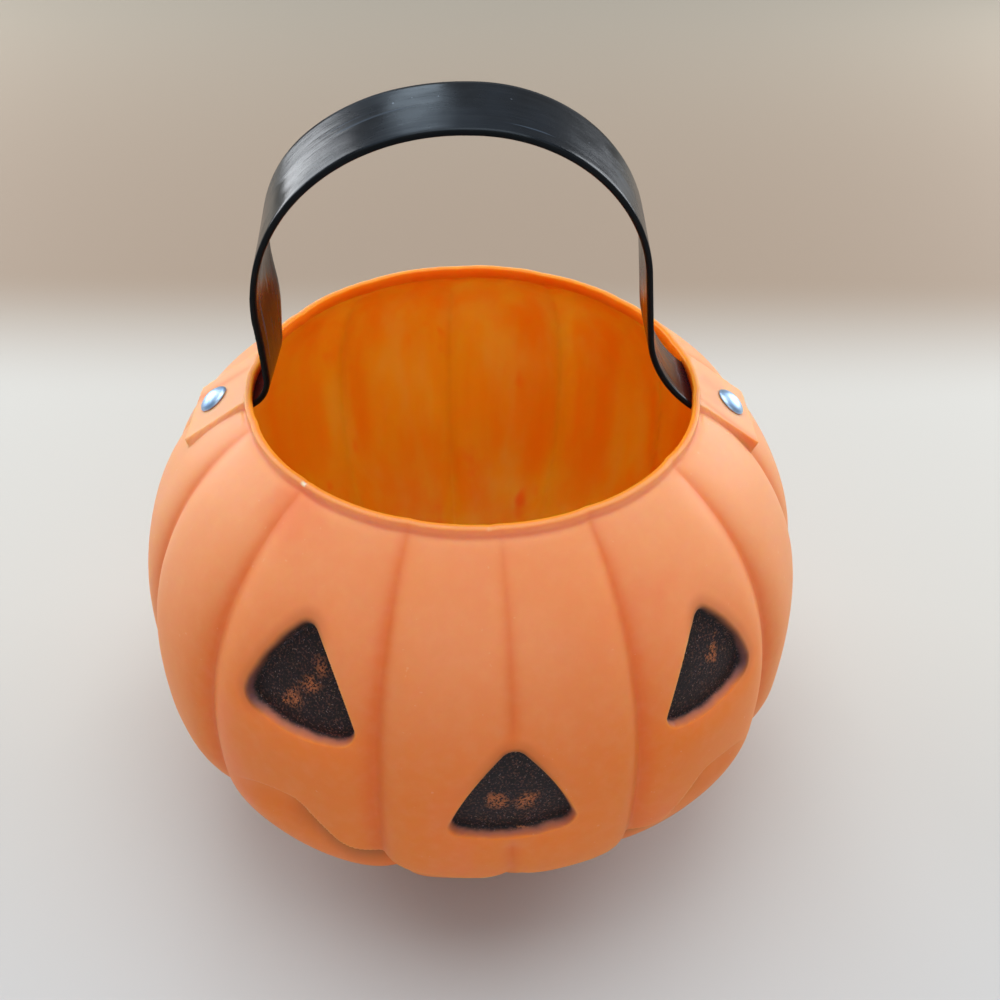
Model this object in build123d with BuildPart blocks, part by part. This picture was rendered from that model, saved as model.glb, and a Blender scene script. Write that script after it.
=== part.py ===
"""Pumpkin candy pail: a ribbed hollow body with a pressed-in face, a riveted strap handle and its rivets."""
import os
from math import acos, asin, atan2, cos, degrees, radians, sin, sqrt, tan

from build123d import *

os.makedirs("parts", exist_ok=True)

# Sizes are in millimetres. The origin is the middle of the flat base, +Z is up, the front faces -Y
# and the two rivets stand on the X axis, the left one on the -X side.

# Pumpkin body
body_radius = 110.0
pail_height = 165.0
belly_height = 73.0
base_radius = 55.0
rim_radius = 68.5
wall = 2.2
collar_height = 3.5
collar_root = 2.0
shoulder_ledge = 1.5
rim_edge_radius = 0.6
shoulder_roundness = 2.55
foot_roundness = 1.71
cut_overrun = 5.0

# Ribs: angles of the creases on one side of the face's middle, and how deep the creases are
face_turn = 5.9
rib_edge_angles = (0, 20.2, 50.4, 75.0, 100.9, 127.3, 153.6, 180)
crease_depth = 4.5
middle_crease_depth = 1.8
rim_fade_share = 0.75
base_fade_share = 0.6
level_shares = (-1, -0.8, -0.55, -0.28, 0, 0.28, 0.55, 0.8, 1)

# Face: heights are measured from the belly line, widths across the front of each feature
pocket_depth = 4.0
eye_angle = 33.0
eye_inner_reach = 18.4
eye_outer_reach = 18.2
eye_foot_rise = 42.2
eye_outer_lift = 1.6
eye_top_rise = 72.0
eye_top_shift = 1.0
eye_side_bulge = 2.6
eye_corner_radius = 4.0
right_eye_drop = 4.6
right_eye_turn = 1.0
nose_half_width = 19.0
nose_foot_rise = 15.2
nose_top_rise = 47.6
nose_side_bulge = 2.6
nose_corner_radius = 4.0
mouth_half_width = 79.0
mouth_corner_rise = 7.0
cheek_crest_reach = 62.0
cheek_crest_rise = 14.5
cheek_fold_reach = 47.5
cheek_fold_rise = -1.0
upper_lip_drop = 10.0
right_cheek_drop = 4.0
lower_lip_drop = 46.0

# Rivet pads: each lies along the shoulder, a little flatter than it and a little above its crown line
pad_flattening = 3.15
pad_lift = 0.45
pad_width = 28.0
pad_wall = 2.5
pad_skirt = 8.0
pad_below_rivet = 9.5
rivet_offset = 10.0

# Strap handle
strap_width = 24.0
strap_thickness = 1.8
strap_tail = 7.0
strap_tail_radius = 4.0
left_leg_gap = 6.0
right_leg_gap = 14.6
right_leg_tilt = 8.6
handle_rise = 75.0
bend_drop = 4.0
handle_lean = 8.0
handle_swing = 40.0
crown_fill_share = 0.985
crown_left_share = 0.59
swing_clearance = 0.4
lip_clearance = 0.4
seat_clearance = 0.3

# Rivets
cap_radius = 5.0
cap_height = 2.4
cap_edge = 0.7
post_radius = 1.6
post_reach = 1.2
post_head_radius = 4.4
post_head_thickness = 1.0
cap_end_gap = 0.2
rivet_fit = 0.1
rivet_hole_clearance = 0.2

# Heights and radii that follow from the sizes above
opening_radius = rim_radius - wall
shoulder_height = pail_height - collar_height
shoulder_radius = rim_radius + shoulder_ledge
rivet_reach = shoulder_radius + rivet_offset
from_rim = (Align.MIN, Align.CENTER)
sides = {"left": -1, "right": 1}


def profile_point(level):
    """Radius, height and outward tilt of the crown line; level is -1 at the base and 1 at the collar."""
    if level < 0:
        sense, span = -1, belly_height
        end_radius, roundness = base_radius, foot_roundness
    else:
        sense, span = 1, shoulder_height - belly_height
        end_radius, roundness = shoulder_radius, shoulder_roundness
    half_height = span / (1 - (end_radius / body_radius) ** roundness) ** (1 / roundness)
    turn = abs(level) * asin((span / half_height) ** (roundness / 2))
    radius = body_radius * cos(turn) ** (2 / roundness)
    rise = half_height * sin(turn) ** (2 / roundness)
    power = 2 - 2 / roundness
    tilt = atan2(body_radius * sin(turn) ** power, half_height * cos(turn) ** power)
    return radius, belly_height + sense * rise, sense * tilt


# Slope, height and length of the pads, from the shoulder line where the rivets stand
rivet_turn = acos((rivet_reach / body_radius) ** (shoulder_roundness / 2))
collar_turn = acos((shoulder_radius / body_radius) ** (shoulder_roundness / 2))
crown_height, crown_tilt = profile_point(rivet_turn / collar_turn)[1:]
pad_slope = 90 - degrees(crown_tilt) - pad_flattening
pad_height = crown_height + pad_lift
pad_above_rivet = (rivet_offset + shoulder_ledge + wall / 2) / cos(radians(pad_slope))
pad_length = pad_above_rivet + pad_below_rivet
seat_above_rivet = (rivet_offset + shoulder_ledge + 2 * wall) / cos(radians(pad_slope))
seat_length = seat_above_rivet + strap_tail + seat_clearance

# The strap's middle line under the pads, and the hinge line just above the bend of its right leg
strap_depth = pad_wall + strap_thickness / 2
strap_reach = rivet_reach - strap_depth * sin(radians(pad_slope))
strap_height = pad_height - strap_depth * cos(radians(pad_slope))
right_leg = opening_radius - right_leg_gap
right_bend_reach = right_leg + bend_drop * tan(radians(right_leg_tilt))
hinge_height = strap_height + (strap_reach - right_bend_reach) * tan(radians(pad_slope)) + bend_drop


def ring_point(radius, angle):
    """Point at an angle from the face's middle, turning from the front towards +X."""
    azimuth = radians(face_turn + angle)
    return radius * sin(azimuth), -radius * cos(azimuth)


def ribbed_outline(level, inset):
    """Outline of the ribs at one level, set in from the outer surface along the wall."""
    radius, height, tilt = profile_point(level)
    radius -= inset * cos(tilt)
    height -= inset * sin(tilt)
    fade = 1 - level**2 * (rim_fade_share if level > 0 else base_fade_share)
    edges = [-angle for angle in rib_edge_angles[:0:-1]] + list(rib_edge_angles)
    with BuildSketch(Plane.XY.offset(height)) as outline:
        with BuildLine():
            for start, end in zip(edges, edges[1:]):
                start_radius = radius - fade * (crease_depth if start else middle_crease_depth)
                end_radius = radius - fade * (crease_depth if end else middle_crease_depth)
                crown = ring_point(radius, (start + end) / 2)
                ThreePointArc(ring_point(start_radius, start), crown, ring_point(end_radius, end))
        make_face()
    return outline.sketch


def ribbed_body(inset):
    """The whole pumpkin as a closed solid, set in from its outer surface."""
    outlines = [ribbed_outline(level, inset) for level in level_shares]
    with BuildPart() as body:
        loft(outlines)
    return body.part


def face_plane(angle):
    """Upright plane through the body's axis at the belly, facing out at an angle from the face's middle."""
    out_x, out_y = ring_point(1, angle)
    return Plane(origin=(0, 0, belly_height), x_dir=(-out_y, out_x, 0), z_dir=(out_x, out_y, 0))


def bulged_side(start, end, bulge):
    """One side of a rounded triangle, drawn anticlockwise and bowed outwards."""
    run, rise = end[0] - start[0], end[1] - start[1]
    length = sqrt(run**2 + rise**2)
    middle_x = (start[0] + end[0]) / 2 + bulge * rise / length
    middle_y = (start[1] + end[1]) / 2 - bulge * run / length
    ThreePointArc(start, (middle_x, middle_y), end)


def rounded_triangle(corners, bulge, corner_radius, margin):
    """Rounded triangle with bowed sides, whose sides stand out by a margin."""
    (ax, ay), (bx, by), (cx, cy) = corners
    lengths = [sqrt((bx - cx) ** 2 + (by - cy) ** 2), sqrt((cx - ax) ** 2 + (cy - ay) ** 2)]
    lengths.append(sqrt((ax - bx) ** 2 + (ay - by) ** 2))
    perimeter = sum(lengths)
    middle_x = sum(length * corner[0] for length, corner in zip(lengths, corners)) / perimeter
    middle_y = sum(length * corner[1] for length, corner in zip(lengths, corners)) / perimeter
    side_distance = abs((bx - ax) * (cy - ay) - (cx - ax) * (by - ay)) / perimeter
    growth = 1 + margin / side_distance
    grown = [(middle_x + growth * (x - middle_x), middle_y + growth * (y - middle_y)) for x, y in corners]
    with BuildSketch(mode=Mode.PRIVATE) as triangle:
        with BuildLine():
            for start, end in zip(grown, grown[1:] + grown[:1]):
                bulged_side(start, end, bulge)
        make_face()
        fillet(triangle.vertices(), corner_radius + margin)
    return triangle.sketch


def eye_outline(side, margin):
    """One eye; side is -1 for the left eye, whose inner corner is on its right. The right eye sits lower."""
    drop = right_eye_drop if side > 0 else 0
    inner = (-side * eye_inner_reach, eye_foot_rise - drop)
    outer = (side * eye_outer_reach, eye_foot_rise + eye_outer_lift - drop)
    top = (side * eye_top_shift, eye_top_rise - drop)
    corners = [inner, outer, top] if side > 0 else [outer, inner, top]
    return rounded_triangle(corners, eye_side_bulge, eye_corner_radius, margin)


def nose_outline(margin):
    """The nose, an upright rounded triangle."""
    corners = [(-nose_half_width, nose_foot_rise), (nose_half_width, nose_foot_rise), (0, nose_top_rise)]
    return rounded_triangle(corners, nose_side_bulge, nose_corner_radius, margin)


def mouth_outline(margin):
    """The smile, grown by a margin: one round lower lip, and an upper lip that folds under each cheek.

    Its right side sits lower, like the right eye.
    """
    left_corner = (-mouth_half_width - margin, mouth_corner_rise)
    right_corner = (mouth_half_width + margin, mouth_corner_rise - right_cheek_drop)
    left_fold = (-cheek_fold_reach, cheek_fold_rise + margin)
    right_fold = (cheek_fold_reach, cheek_fold_rise + margin - right_cheek_drop)
    left_crest = (-cheek_crest_reach, cheek_crest_rise + margin)
    right_crest = (cheek_crest_reach, cheek_crest_rise + margin - right_cheek_drop)
    with BuildSketch(mode=Mode.PRIVATE) as mouth:
        with BuildLine():
            ThreePointArc(left_corner, (0, -lower_lip_drop - margin), right_corner)
            ThreePointArc(right_corner, right_crest, right_fold)
            ThreePointArc(right_fold, (0, margin - upper_lip_drop), left_fold)
            ThreePointArc(left_fold, left_crest, left_corner)
        make_face()
    return mouth.sketch


def face_recesses(margin, depth):
    """Eyes, nose and mouth as solids that reach from outside the body down to a depth below its surface."""
    floor = ribbed_body(depth)
    features = [(-eye_angle, eye_outline(-1, margin)), (eye_angle + right_eye_turn, eye_outline(1, margin))]
    features += [(0, nose_outline(margin)), (0, mouth_outline(margin))]
    with BuildPart() as recesses:
        for angle, outline in features:
            with BuildSketch(face_plane(angle)):
                add(outline)
            extrude(amount=body_radius + cut_overrun)
        add(floor, mode=Mode.SUBTRACT)
    return recesses.part


def pad_plane(side):
    """Plane of a rivet pad's flat top, centred on its rivet, with x running down the slope."""
    fall = radians(pad_slope)
    return Plane(
        origin=(side * rivet_reach, 0, pad_height),
        x_dir=(side * cos(fall), 0, -sin(fall)),
        z_dir=(side * sin(fall), 0, cos(fall)),
    )


# Hollow inside the body: the wall, the pads' plates and the backs of the face's recesses stay standing
with BuildPart() as cavity:
    add(ribbed_body(wall))
    for side in sides.values():
        plate = pad_plane(side)
        with BuildSketch(plate):
            with Locations((-pad_above_rivet, 0)):
                Rectangle(pad_length, pad_width, align=from_rim)
        extrude(amount=-pad_wall, mode=Mode.SUBTRACT)
        with BuildSketch(plate.offset(-pad_wall)):
            with Locations((-seat_above_rivet, 0)):
                Rectangle(seat_length, strap_width + 2 * seat_clearance, align=from_rim)
        extrude(amount=-pad_skirt)
    add(face_recesses(wall, pocket_depth + wall), mode=Mode.SUBTRACT)

# One-piece body: ribbed outside, flat rivet pads, upright collar and pressed-in face
with BuildPart() as pumpkin_shell:
    add(ribbed_body(0))
    for side in sides.values():
        plate = pad_plane(side)
        with BuildSketch(plate):
            with Locations((-pad_above_rivet, 0)):
                Rectangle(pad_length, pad_width, align=from_rim)
        extrude(amount=-pad_skirt)
    with BuildSketch(Plane.XY.offset(shoulder_height - collar_root)):
        Circle(rim_radius)
    extrude(amount=collar_root + collar_height)
    add(face_recesses(0, pocket_depth), mode=Mode.SUBTRACT)
    add(cavity.part, mode=Mode.SUBTRACT)
    with BuildSketch(Plane.XY.offset(pad_height)):
        Circle(opening_radius)
    extrude(amount=pail_height - pad_height + cut_overrun, mode=Mode.SUBTRACT)
    for side in sides.values():
        with BuildSketch(pad_plane(side)):
            Circle(post_radius + rivet_hole_clearance)
        extrude(amount=pad_wall + cut_overrun, both=True, mode=Mode.SUBTRACT)
    fillet(pumpkin_shell.edges().group_by(Axis.Z)[-1], rim_edge_radius)
pumpkin_shell.part.label = "pumpkin_shell"
export_step(pumpkin_shell.part, "parts/pumpkin_shell.step")


def strap_route():
    """Corners and bend radii of the strap's middle line, from the front, measured from the hinge line."""
    strap_rise = strap_height - hinge_height
    tail_reach = strap_reach + strap_tail * cos(radians(pad_slope))
    tail_rise = strap_rise - strap_tail * sin(radians(pad_slope))
    exit_reach = sqrt(opening_radius**2 - (strap_width / 2) ** 2) - lip_clearance

    left_leg = opening_radius - left_leg_gap
    left_bend = (left_leg, strap_rise + (strap_reach - left_leg) * tan(radians(pad_slope)))
    right_bend = (right_bend_reach, -bend_drop)
    right_top = right_leg - handle_rise * tan(radians(right_leg_tilt))

    crown = crown_fill_share * (left_leg + right_top)
    left_turn, right_turn = radians(90 - pad_slope), radians(90 - pad_slope - right_leg_tilt)
    exit_slope = cos(radians(pad_slope))
    radii = [
        (exit_reach - left_bend[0]) / exit_slope / tan(left_turn / 2),
        crown * crown_left_share,
        crown * (1 - crown_left_share) / tan(radians(90 - right_leg_tilt) / 2),
        (exit_reach - right_bend[0]) / exit_slope / tan(right_turn / 2),
    ]
    corners = [
        (-tail_reach, tail_rise),
        (-left_bend[0], left_bend[1]),
        (-left_leg, handle_rise),
        (right_top, handle_rise),
        right_bend,
        (tail_reach, tail_rise),
    ]
    return corners, radii


def strap_band(lean):
    """The whole strap as one flat band, leant forwards about the hinge line."""
    corners, radii = strap_route()
    turn = radians(lean)
    front = Plane(origin=(0, 0, hinge_height), x_dir=(1, 0, 0), z_dir=(0, -cos(turn), -sin(turn)))
    with BuildPart() as band:
        with BuildLine(front) as route:
            FilletPolyline(*corners, radius=radii)
        with BuildSketch(Plane(origin=route.line @ 0, x_dir=front.z_dir, z_dir=route.line % 0)):
            Rectangle(strap_width, strap_thickness)
        sweep()
    return band.part


def hinge_plane(lean):
    """Plane across the hinge line, leant with the handle, with y running up the leg."""
    turn = radians(lean)
    return Plane(origin=(0, 0, hinge_height), x_dir=(0, cos(turn), sin(turn)), z_dir=(1, 0, 0))


# Swinging part of the strap, round below so that it turns in the hollows of the two fixed ends
with BuildPart() as strap_arch:
    add(strap_band(handle_lean))
    with BuildSketch(hinge_plane(handle_lean)):
        Circle(strap_width / 2)
        Rectangle(strap_width, handle_rise + strap_thickness, align=(Align.CENTER, Align.MIN))
    extrude(amount=body_radius, both=True, mode=Mode.INTERSECT)
strap_arch.part.label = "strap_arch"
export_step(strap_arch.part, "parts/strap_arch.step")

# Riveted ends of the strap and the two parts of each rivet
tip_drop = strap_width / 2 * sin(radians(handle_swing)) + swing_clearance
for name, side in sides.items():
    plate = pad_plane(side)
    cross_section = Plane(origin=plate.origin, x_dir=plate.x_dir, z_dir=-plate.y_dir)
    rivet_axis = Axis(plate.origin, plate.z_dir)

    with BuildPart() as strap_end:
        add(strap_band(0))
        with BuildSketch(hinge_plane(0)):
            with Locations((0, -tip_drop)):
                Rectangle(strap_width, hinge_height, align=(Align.CENTER, Align.MAX))
            Circle(strap_width / 2 + swing_clearance, mode=Mode.SUBTRACT)
        extrude(amount=side * body_radius, mode=Mode.INTERSECT)
        fillet(strap_end.edges().filter_by(rivet_axis), strap_tail_radius)
        with BuildSketch(plate):
            Circle(post_radius + rivet_hole_clearance)
        extrude(amount=pad_wall + strap_thickness + cut_overrun, both=True, mode=Mode.SUBTRACT)
    strap_end.part.label = f"{name}_strap_end"
    export_step(strap_end.part, f"parts/{name}_strap_end.step")

    with BuildPart() as rivet_post:
        with BuildSketch(cross_section):
            with BuildLine():
                foot = -pad_wall - strap_thickness
                Polyline(
                    (0, foot - post_head_thickness),
                    (post_head_radius - post_head_thickness / 2, foot - post_head_thickness),
                    (post_head_radius, foot - post_head_thickness / 2),
                    (post_head_radius, foot),
                    (post_radius, foot),
                    (post_radius, post_reach),
                    (0, post_reach),
                    close=True,
                )
            make_face()
        revolve(axis=rivet_axis)
    rivet_post.part.label = f"{name}_rivet_post"
    export_step(rivet_post.part, f"parts/{name}_rivet_post.step")

    with BuildPart() as rivet_cap:
        with BuildSketch(cross_section):
            with BuildLine():
                dome_radius = (cap_radius**2 + (cap_height - cap_edge) ** 2) / (2 * (cap_height - cap_edge))
                Line((0, cap_height), (0, post_reach + cap_end_gap))
                Line((0, post_reach + cap_end_gap), (post_radius + rivet_fit, post_reach + cap_end_gap))
                Line((post_radius + rivet_fit, post_reach + cap_end_gap), (post_radius + rivet_fit, 0))
                Line((post_radius + rivet_fit, 0), (cap_radius, 0))
                Line((cap_radius, 0), (cap_radius, cap_edge))
                RadiusArc((cap_radius, cap_edge), (0, cap_height), -dome_radius)
            make_face()
        revolve(axis=rivet_axis)
    rivet_cap.part.label = f"{name}_rivet_cap"
    export_step(rivet_cap.part, f"parts/{name}_rivet_cap.step")
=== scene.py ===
from math import acos, asin, atan2, cos, degrees, exp, hypot, pi, radians, sin, sqrt, tan

import bmesh
import bpy
from mathutils import Matrix, Vector, noise


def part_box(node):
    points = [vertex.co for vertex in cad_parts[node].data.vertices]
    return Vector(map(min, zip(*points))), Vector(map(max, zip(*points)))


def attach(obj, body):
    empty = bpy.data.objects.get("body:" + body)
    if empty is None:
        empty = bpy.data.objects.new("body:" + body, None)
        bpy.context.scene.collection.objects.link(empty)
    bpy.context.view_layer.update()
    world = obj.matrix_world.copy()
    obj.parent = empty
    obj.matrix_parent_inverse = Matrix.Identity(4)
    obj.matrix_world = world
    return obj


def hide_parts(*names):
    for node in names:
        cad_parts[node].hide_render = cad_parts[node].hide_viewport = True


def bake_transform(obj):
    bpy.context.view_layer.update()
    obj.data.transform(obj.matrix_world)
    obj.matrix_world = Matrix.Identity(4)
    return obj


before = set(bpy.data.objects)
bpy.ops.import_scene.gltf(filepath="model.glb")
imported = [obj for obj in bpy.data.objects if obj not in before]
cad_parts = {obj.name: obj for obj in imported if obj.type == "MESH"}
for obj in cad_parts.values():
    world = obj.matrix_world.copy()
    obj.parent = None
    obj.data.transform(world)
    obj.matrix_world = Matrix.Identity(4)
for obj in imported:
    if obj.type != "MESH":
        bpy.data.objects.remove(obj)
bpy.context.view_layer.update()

# Sizes are in metres and angles in degrees.
# The front of the pail faces -Y and the rivets stand on the X axis.

# Pumpkin body
body_radius = 0.110
pail_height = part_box("pumpkin_shell")[1].z
belly_height = 0.073
base_radius = 0.055
rim_radius = 0.0685
wall = 0.0022
collar_height = 0.0035
shoulder_ledge = 0.0015
lip_round = 0.0006
shoulder_roundness = 2.55
foot_roundness = 1.71

# Ribs
face_turn = 5.9
rib_edge_angles = (0, 20.2, 50.4, 75.0, 100.9, 127.3, 153.6, 180)
front_ribs = 2
front_bow = 2.0
front_step = 0.8
back_step = 1.35
crease_depth = 0.0040
middle_crease_depth = 0.0018
crease_sharpness = 5.0
crease_crowding = 0.33
crease_round = 0.035
crease_band = 9
rim_fade_share = 0.75
base_fade_share = 0.6
collar_fade = 0.10
base_middle_fade = 0.2
base_edge_fade = 0.4
lip_turns = (30, 60, 90)
outer_rows = 104
inner_rows = 44
refine_reaches = (0.0060, 0.0026)

# Face: heights are measured from the belly line
face_limit = 80
pocket_zone = 0.03
pocket_depth = 0.0040
pocket_wall_run = 0.0014
pocket_roll_depth = 0.0008
pocket_roll_reach = 0.0045
pocket_calm = 0.007
eye_angle = 33.0
eye_inner_reach = 0.0184
eye_outer_reach = 0.0182
eye_foot_rise = 0.0422
eye_outer_lift = 0.0016
eye_top_rise = 0.0720
eye_top_shift = 0.0010
right_eye_drop = 0.0046
right_eye_turn = 1.0
nose_half_width = 0.0190
nose_foot_rise = 0.0152
nose_top_rise = 0.0476
side_bulge = 0.0027
pocket_corner_radius = 0.0042
mouth_half_width = 0.079
mouth_corner_rise = 0.007
cheek_crest_reach = 0.0605
cheek_crest_rise = 0.0156
cheek_fold_reach = 0.0475
cheek_fold_rise = -0.001
cheek_slope = 1.46
upper_lip_drop = 0.010
right_cheek_drop = 0.004
lower_lip_drop = 0.046
mouth_depth = 0.0064
lip_run = 0.0017
lip_inner_lift = 0.008
lip_blend = 0.003
lower_lip_start = 0.25
mouth_end_fade = 0.022
# Dark band under the upper lip: partly the mouth's paint, partly painted shade in its recess
mouth_paint_and_shade_start = (0.0005, 0.0015)
mouth_paint_and_shade_width = 0.0180
mouth_paint_and_shade_fade = 0.0085
mouth_paint_and_shade_spread = 0.001
mouth_paint_and_shade_taper = (0.020, 0.050)
mouth_paint_and_shade_end = (0.053, 0.068)

# Rubbed spots in the paint: angles from the face's middle and heights over the belly line
worn_spots = ((-34.5, 0.0478), (-32.0, 0.0534), (-30.4, 0.0585), (-2.3, 0.0255), (2.1, 0.0245))
worn_reach = 0.0042

# Cut edge of the rim: each nick has its angle from the face's middle and its strength
rim_wave = 0.00016
rim_wave_scale = 90
rim_ripple_share = 0.5
rim_ripple_scale = 450
nicks = ((-47.7, 1.0), (-2.5, 0.45))
nick_width = 0.0010
nick_depth = 0.0006

# Rivet pads
pad_flattening = 3.15
pad_lift = 0.00045
pad_width = 0.028
pad_wall = 0.0025
pad_below_rivet = 0.0095
pad_edge_run = 0.0007
pad_corner_radius = 0.0012
rivet_offset = 0.010

# Strap handle: each twist has its rise over the hinge, its reach and its inward shift
strap_width = 0.024
strap_thickness = 0.0018
strap_tail = 0.007
strap_tail_radius = 0.004
strap_edge_radius = 0.0006
left_leg_gap = 0.0060
right_leg_gap = 0.0146
right_leg_tilt = 8.6
handle_rise = 0.0750
bend_drop = 0.0040
handle_lean = 8.0
crown_fill_share = 0.985
crown_left_share = 0.59
lip_clearance = 0.0004
left_twist = ((0.014, 0.016, 0.0022), (0.060, 0.022, -0.0030))
strap_steps = 300
strap_ring_steps = 44
flash_depth = 0.00028
flash_scale = 260
flash_fine_scale = 900
flash_fine_share = 0.6
flash_fine_offset = 3
flash_lowest = -0.3

# Rivets
cap_radius = 0.005
cap_height = 0.0024
cap_edge = 0.0007
cap_foot_share = 0.9
cap_edge_shares = (0.3, 0.7)
cap_steps = 64
dome_steps = 10

# Tones that change with height or distance
# Painted light: the shoulders turn lighter with height, where they face the overhead lamp
shoulder_light_tone = (0.095, 0.154)
side_tone = (-0.085, -0.03)
# Painted shade: the body turns deeper orange towards its foot
foot_shade_tone = (0.078, 0.025)
lip_tone = (pail_height - 0.0016, pail_height - 0.0005)
throat_tone = (pail_height - collar_height - 0.008, pail_height - collar_height + 0.001)
paint_ragged = 0.0008
paint_edge = (-0.0010, -0.0004)
# Which sides of the eyes and nose get the painted shade: the upper and outer ones
shade_side = (-0.002, 0.008)
paint_foot = (-0.012, 0.002)
paint_foot_draw = 0.0002
# Reaches of the overspray, with painted shade above the pockets and painted light below them
mist_and_shade_edge = (0.0002, 0.0042)
halo_shade_edge = (-0.0010, 0.0012)
lit_spray_edge = (-0.0010, 0.0004)
worn_ragged = 0.007
worn_core = 0.0005
strap_cut_tone = (strap_width / 2 - 0.0008, strap_width / 2 - 0.0003)

# Floor
floor_size = 6.0
floor_change = (-0.30, 0.05)
backdrop_start = (0.21, 0.36)
backdrop_end = (0.35, 1.4)

# Lamps: name, place, point to look at, size, power and tint
warm_white = (1, 0.98, 0.95)
cool_white = (0.97, 0.98, 1)
sky_blue = (0.75, 0.88, 1)
lamps = (
    ("top_lamp", (0, 0.15, 1.4), (0, 0, 0.1), 1.2, 13.5, warm_white),
    ("front_lamp", (0.2, -1.4, 0.9), (0, 0, 0.1), 1.0, 4, warm_white),
    ("back_lamp", (-0.35, 1.2, 1.08), (0, 0, 0.2), 0.36, 1.4, sky_blue),
    ("side_lamp_-1", (-1.0, 0.75, 0.5), (0, 0.05, 0.1), 0.7, 8.0, cool_white),
    ("side_lamp_1", (1.0, 0.75, 0.5), (0, 0.05, 0.1), 0.7, 8.0, cool_white),
)
sky_tint = (0.93, 0.96, 1.0, 1)
sky_strength = 0.34

# Camera at the photograph's viewpoint, with its angles in radians
camera_place = (0.0, -0.25241, 0.33854)
camera_yaw = 0.0352
camera_pitch = 0.7268
camera_roll = 0.0267
camera_sensor = 36.0
camera_lens = 36.0

opening_radius = rim_radius - wall
shoulder_height = pail_height - collar_height
shoulder_radius = rim_radius + shoulder_ledge
rivet_reach = shoulder_radius + rivet_offset


def smooth_step(low, high, value):
    """Smooth ramp from 0 at low to 1 at high."""
    share = min(max((value - low) / (high - low), 0), 1)
    return share * share * (3 - 2 * share)


def smooth_min(first, second, width):
    """The smaller of two values, rounded where they cross."""
    share = min(max(0.5 + 0.5 * (second - first) / width, 0), 1)
    return second + (first - second) * share - width * share * (1 - share)


# Pumpkin shell


def crown_line(level):
    """Radius, height and outward tilt of the ribs' crowns; level is -1 at the base and 1 at the collar."""
    if level < 0:
        sense, span = -1, belly_height
        end_radius, roundness = base_radius, foot_roundness
    else:
        sense, span = 1, shoulder_height - belly_height
        end_radius, roundness = shoulder_radius, shoulder_roundness
    half_height = span / (1 - (end_radius / body_radius) ** roundness) ** (1 / roundness)
    turn = abs(level) * asin((span / half_height) ** (roundness / 2))
    radius = body_radius * cos(turn) ** (2 / roundness)
    rise = half_height * sin(turn) ** (2 / roundness)
    power = 2 - 2 / roundness
    tilt = atan2(body_radius * sin(turn) ** power, half_height * cos(turn) ** power)
    return radius, belly_height + sense * rise, sense * tilt


def crown_reach(rise):
    """Radius of the ribs' crowns at a height over the belly line."""
    span, roundness = shoulder_height - belly_height, shoulder_roundness
    half_height = span / (1 - (shoulder_radius / body_radius) ** roundness) ** (1 / roundness)
    return body_radius * (1 - (rise / half_height) ** roundness) ** (1 / roundness)


def even_levels(count):
    """Levels that lie about the same distance apart along the crown line."""
    samples = [2 * i / (8 * count) - 1 for i in range(8 * count + 1)]
    points = [crown_line(level)[:2] for level in samples]
    lengths = [0]
    for start, end in zip(points, points[1:]):
        lengths.append(lengths[-1] + hypot(end[0] - start[0], end[1] - start[1]))
    levels, sample = [], 0
    for i in range(count + 1):
        while sample < len(samples) - 1 and lengths[sample] < lengths[-1] * i / count:
            sample += 1
        levels.append(samples[sample])
    return levels


def crease_fade(level):
    """How much of the creases' depth is left at a level."""
    return 1 - level**2 * (rim_fade_share if level > 0 else base_fade_share)


def shell_profile():
    """Rows of the shell's wall from the base's middle, up the outside, over the lip and down the inside.

    Each row has its radius, height, tilt, crease fade and whether it is inside.
    """
    rows = [
        (0, 0, -pi / 2, 0, 0),
        (base_radius / 2, 0, -pi / 2, base_middle_fade, 0),
        (base_radius - wall, 0, -pi / 2, base_edge_fade, 0),
    ]
    for level in even_levels(outer_rows)[1:]:
        radius, height, tilt = crown_line(level)
        rows.append((radius, height, tilt, crease_fade(level), 0))
    lip = pail_height - lip_round
    foot = shoulder_height + lip_round
    collar = [(rim_radius + lip_round, shoulder_height + lip_round / 4), (rim_radius, foot)]
    collar += [(rim_radius, (foot + lip) / 2), (rim_radius, lip)]
    for turn in lip_turns:
        rise = lip_round * sin(radians(turn))
        collar.append((rim_radius - lip_round + lip_round * cos(radians(turn)), lip + rise))
    rows += [(radius, height, pi / 2, collar_fade, 0) for radius, height in collar]
    throat = []
    for turn in reversed(lip_turns):
        rise = lip_round * sin(radians(turn))
        throat.append((opening_radius + lip_round - lip_round * cos(radians(turn)), lip + rise))
    throat += [(opening_radius, lip), (opening_radius, (lip + foot) / 2), (opening_radius, foot - wall / 2)]
    rows += [(radius, height, pi / 2, collar_fade, 1) for radius, height in throat]
    for level in reversed(even_levels(inner_rows)):
        radius, height, tilt = crown_line(level)
        rows.append((radius - wall * cos(tilt), height - wall * sin(tilt), tilt, crease_fade(level), 1))
    rows += [(base_radius / 2, wall, -pi / 2, base_middle_fade, 1), (0, wall, -pi / 2, 0, 1)]
    return rows


def ring_point(radius, angle):
    """Point at an angle from the face's middle, turning from the front towards +X."""
    azimuth = radians(face_turn + angle)
    return radius * sin(azimuth), -radius * cos(azimuth)


def face_angle(point):
    """Angle of a point from the face's middle, between -180 and 180 degrees."""
    return (degrees(atan2(point.x, -point.y)) - face_turn + 180) % 360 - 180


def ribs():
    """Start and end angles of every rib."""
    edges = [-angle for angle in rib_edge_angles[:0:-1]] + list(rib_edge_angles)
    return list(zip(edges, edges[1:]))


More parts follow.
